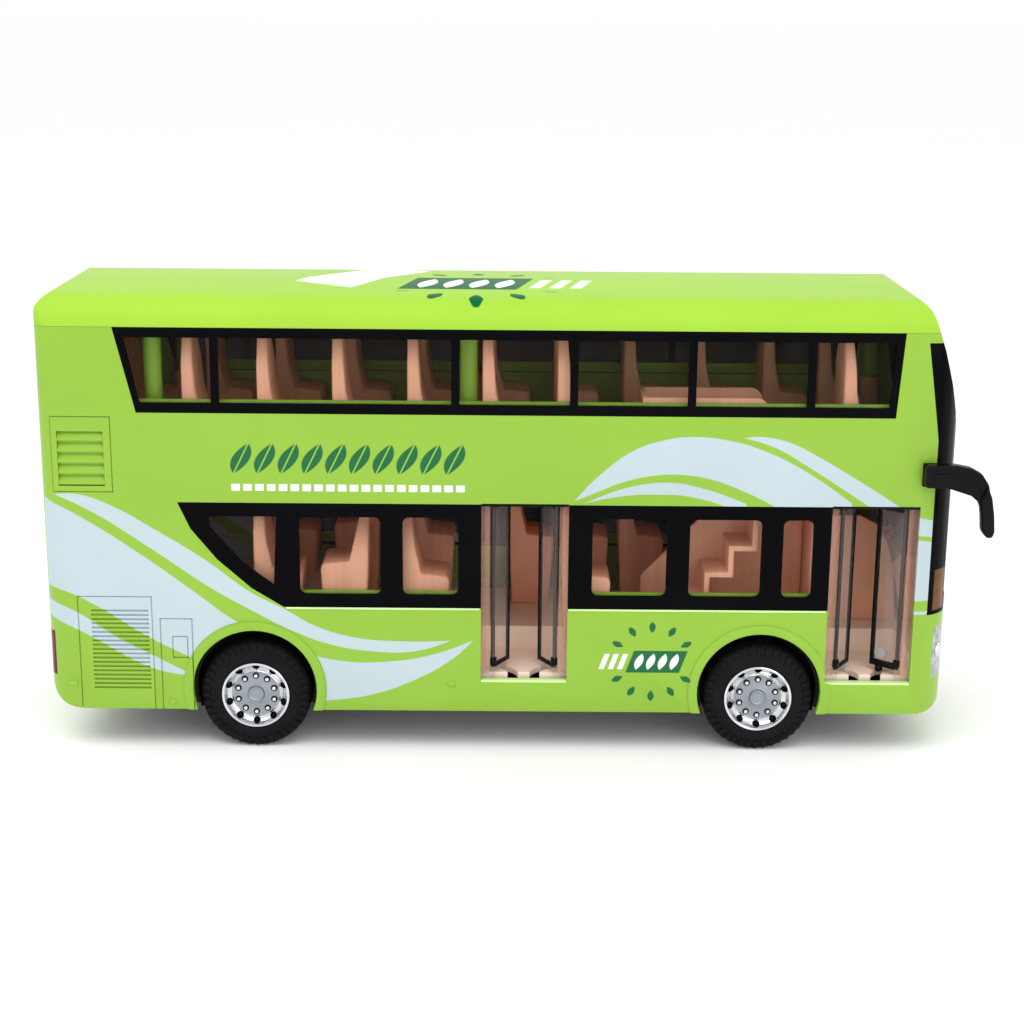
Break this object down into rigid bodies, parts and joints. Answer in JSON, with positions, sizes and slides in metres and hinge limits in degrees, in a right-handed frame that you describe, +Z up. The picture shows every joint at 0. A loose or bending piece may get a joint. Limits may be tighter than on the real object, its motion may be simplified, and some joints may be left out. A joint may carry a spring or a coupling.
{
  "type": "toy double decker bus",
  "caption": "Toy double decker bus with a hollow two-deck cabin, tinted window bands, two kerb-side doorways with swinging leaves, and free-rolling wheels on steel axles.",
  "frame": {"origin": "on the floor under the middle of the whole toy's box, mirrors included", "axes": "+X towards the nose, +Y towards the driver's side (left), +Z up"},
  "size_m": [0.222, 0.0652, 0.11],
  "materials": {
    "green_paint": "glossy sprayed lime green with pale livery bands",
    "roof_paint": "glossy sprayed lime green",
    "gloss_black": "glossy black",
    "smoked_clear": "smoked transparent plastic",
    "clear_plastic": "clear transparent plastic",
    "silver_plate": "vacuum plated silver",
    "amber_lens": "glossy amber",
    "red_lens": "glossy dark red",
    "white_plate": "blank white",
    "matt_black": "matt black moulding",
    "peach_plastic": "satin peach moulding",
    "steel_rod": "bright drawn steel",
    "black_tyre": "matt black rubber"
  },
  "bodies": {
    "bus": {"body_shell": "green_paint", "roof_panel": "roof_paint", "upper_frame_right": "gloss_black", "upper_frame_left": "gloss_black", "upper_glass_right": "smoked_clear", "upper_glass_left": "smoked_clear", "lower_frame_right_rear": "gloss_black", "lower_frame_right_front": "gloss_black", "lower_frame_left": "gloss_black", "lower_glass_right_rear": "smoked_clear", "lower_glass_right_front": "smoked_clear", "lower_glass_left": "smoked_clear", "front_mask": "gloss_black", "upper_windscreen": "smoked_clear", "lower_windscreen": "smoked_clear", "rear_window_frame": "gloss_black", "rear_window_glass": "smoked_clear", "headlamps": "silver_plate", "front_indicators": "amber_lens", "tail_lamps": "red_lens", "blank_plates": "white_plate", "chassis_plate": "matt_black", "motor_housing": "matt_black", "lower_floor": "peach_plastic", "lower_seats": "peach_plastic", "cab_partition": "peach_plastic", "staircase": "peach_plastic", "upper_floor": "peach_plastic", "stairwell_guard": "peach_plastic", "upper_seats": "peach_plastic", "driver_seat": "peach_plastic", "driver_console": "peach_plastic", "steering_wheel": "peach_plastic", "screw_posts": "green_paint", "middle_door_surround": "clear_plastic", "front_door_surround": "clear_plastic", "mirror_right": "gloss_black", "mirror_left": "gloss_black"},
    "front_wheels": {"front_axle": "steel_rod", "front_rims": "silver_plate", "front_tyres": "black_tyre"},
    "rear_wheels": {"rear_axle": "steel_rod", "rear_rims": "silver_plate", "rear_tyres": "black_tyre"},
    "middle_rear_leaf": {"middle_door_rear_leaf": "clear_plastic"},
    "middle_front_leaf": {"middle_door_front_leaf": "clear_plastic"},
    "front_rear_leaf": {"front_door_rear_leaf": "clear_plastic"},
    "front_front_leaf": {"front_door_front_leaf": "clear_plastic"}
  },
  "joints": [
    {"name": "front_wheels_roll", "type": "hinge", "parent": "bus", "child": "front_wheels", "pos_m": [0.0584, 0, 0.0132], "axis": [0, 1, 0], "continuous": true},
    {"name": "rear_wheels_roll", "type": "hinge", "parent": "bus", "child": "rear_wheels", "pos_m": [-0.062, 0, 0.0132], "axis": [0, 1, 0], "continuous": true},
    {"name": "middle_rear_leaf_swing", "type": "hinge", "parent": "bus", "child": "middle_rear_leaf", "pos_m": [-0.0052, -0.0258, 0.04], "axis": [0, 0, 1], "range_deg": [-60, 25]},
    {"name": "middle_front_leaf_swing", "type": "hinge", "parent": "bus", "child": "middle_front_leaf", "pos_m": [0.0095, -0.0258, 0.04], "axis": [0, 0, -1], "range_deg": [-60, 25]},
    {"name": "front_rear_leaf_swing", "type": "hinge", "parent": "bus", "child": "front_rear_leaf", "pos_m": [0.0768, -0.0258, 0.04], "axis": [0, 0, 1], "range_deg": [-57, 28]},
    {"name": "front_front_leaf_swing", "type": "hinge", "parent": "bus", "child": "front_front_leaf", "pos_m": [0.0915, -0.0258, 0.04], "axis": [0, 0, -1], "range_deg": [-42, 43]}
  ]
}
